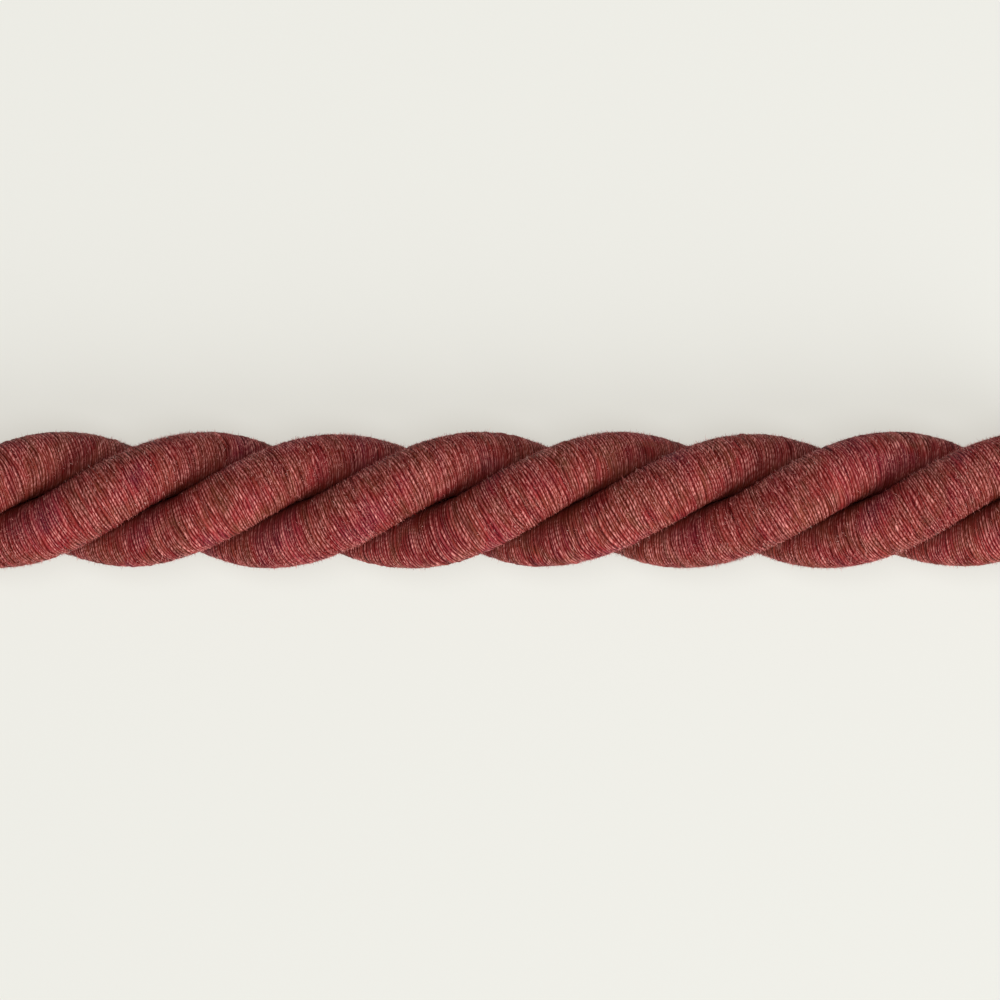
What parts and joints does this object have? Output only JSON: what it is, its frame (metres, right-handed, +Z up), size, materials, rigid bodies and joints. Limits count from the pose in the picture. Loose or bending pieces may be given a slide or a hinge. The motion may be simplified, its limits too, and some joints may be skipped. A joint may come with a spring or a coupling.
{
  "type": "three-strand spun cord",
  "caption": "Straight cut length of thick furnishing cord, its strands spun round with fine yarn and laid like a rope, for edging, tying and trimming.",
  "frame": {"origin": "the middle of the cord's length, on the surface that it lies on, under the cord's axis", "axes": "+X along the cord, +Y across it, +Z up from the surface"},
  "size_m": [0.105, 0.0122, 0.0118],
  "materials": {
    "spun_yarn": "matt heathered yarn in madder red, maroon and coral, wound turn beside turn"
  },
  "bodies": {
    "root": {"strand_1": "spun_yarn", "strand_2": "spun_yarn", "strand_3": "spun_yarn"}
  },
  "joints": []
}
